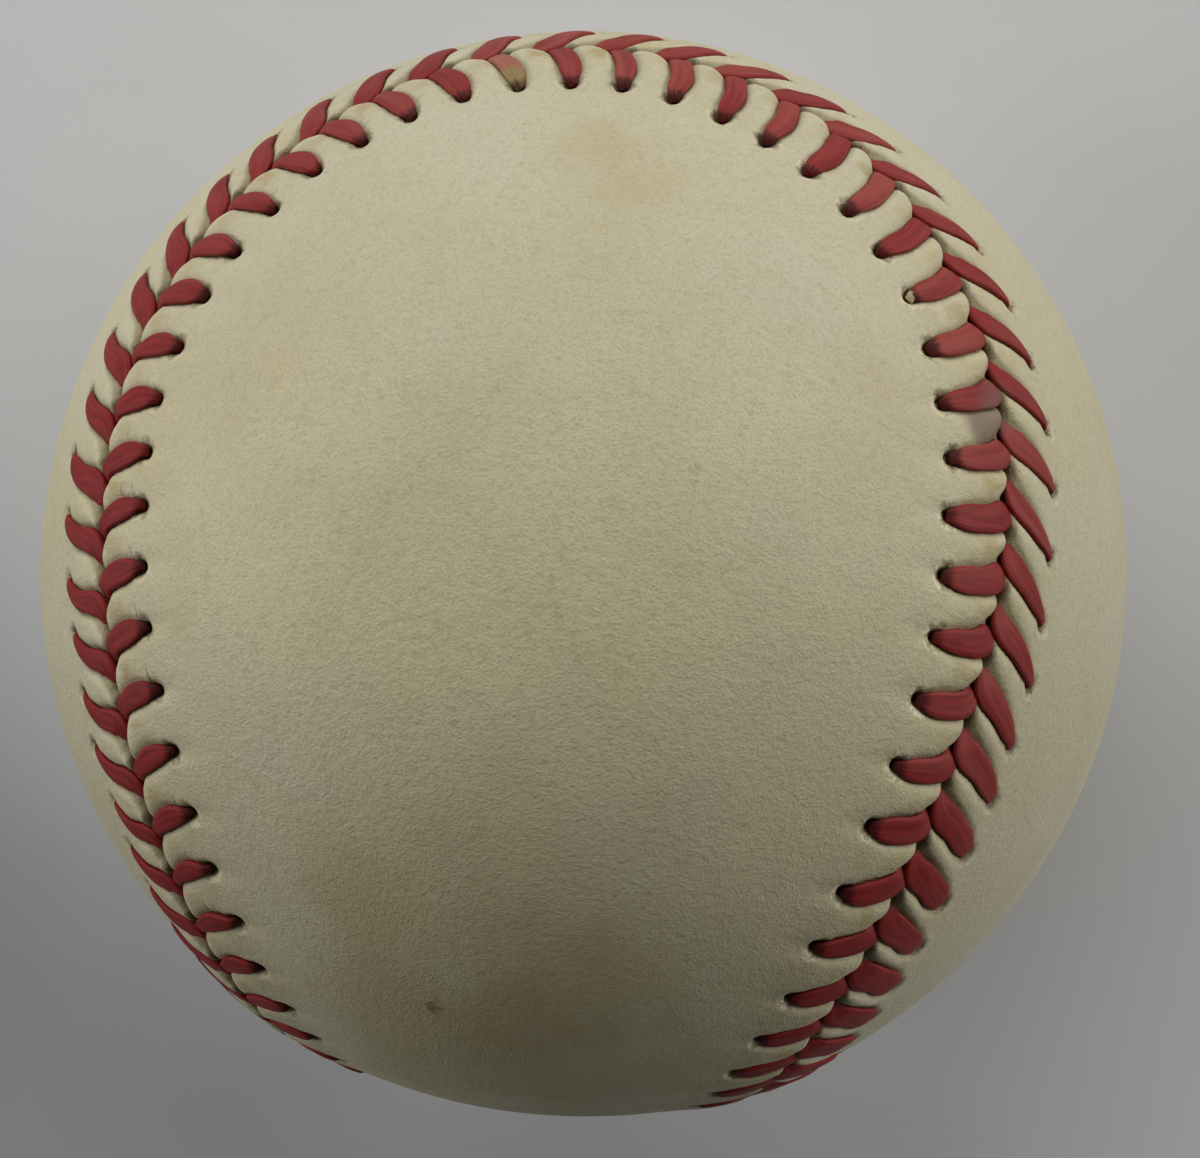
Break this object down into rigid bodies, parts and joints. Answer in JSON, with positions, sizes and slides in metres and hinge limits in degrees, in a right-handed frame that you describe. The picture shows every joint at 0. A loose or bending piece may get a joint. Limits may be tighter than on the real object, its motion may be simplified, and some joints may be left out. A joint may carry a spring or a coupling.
{
  "type": "baseball",
  "caption": "Hand-stitched leather ball: cushioned cork centre, wound wool and a figure-eight cover of two panels joined by raised herringbone stitching in waxed thread.",
  "frame": {"origin": "centre of the ball", "axes": "+Z out of the middle of the wide lobe of cover panel A that the picture shows, -Y out of panel A's narrow neck, +Y out of panel B's narrow neck, +X and -X out of panel B's two lobes"},
  "size_m": [0.074, 0.074, 0.074],
  "materials": {
    "cork": "matte composition cork",
    "black_rubber": "matte",
    "red_rubber": "matte",
    "grey_wool": "wound wool yarn",
    "white_wool": "wound wool yarn",
    "finish_yarn": "fine wound poly-cotton yarn",
    "cover_leather": "alum-tanned, fine grain, aged ivory",
    "stitch_thread": "waxed, slight sheen"
  },
  "bodies": {
    "root": {"cork_core": "cork", "black_shell_upper": "black_rubber", "black_shell_lower": "black_rubber", "shell_washer": "red_rubber", "red_rubber_layer": "red_rubber", "base_wool_winding": "grey_wool", "white_wool_winding": "white_wool", "grey_wool_winding": "grey_wool", "finish_yarn_winding": "finish_yarn", "cover_panel_a": "cover_leather", "cover_panel_b": "cover_leather", "stitch_thread_a": "stitch_thread", "stitch_thread_b": "stitch_thread"}
  },
  "joints": []
}
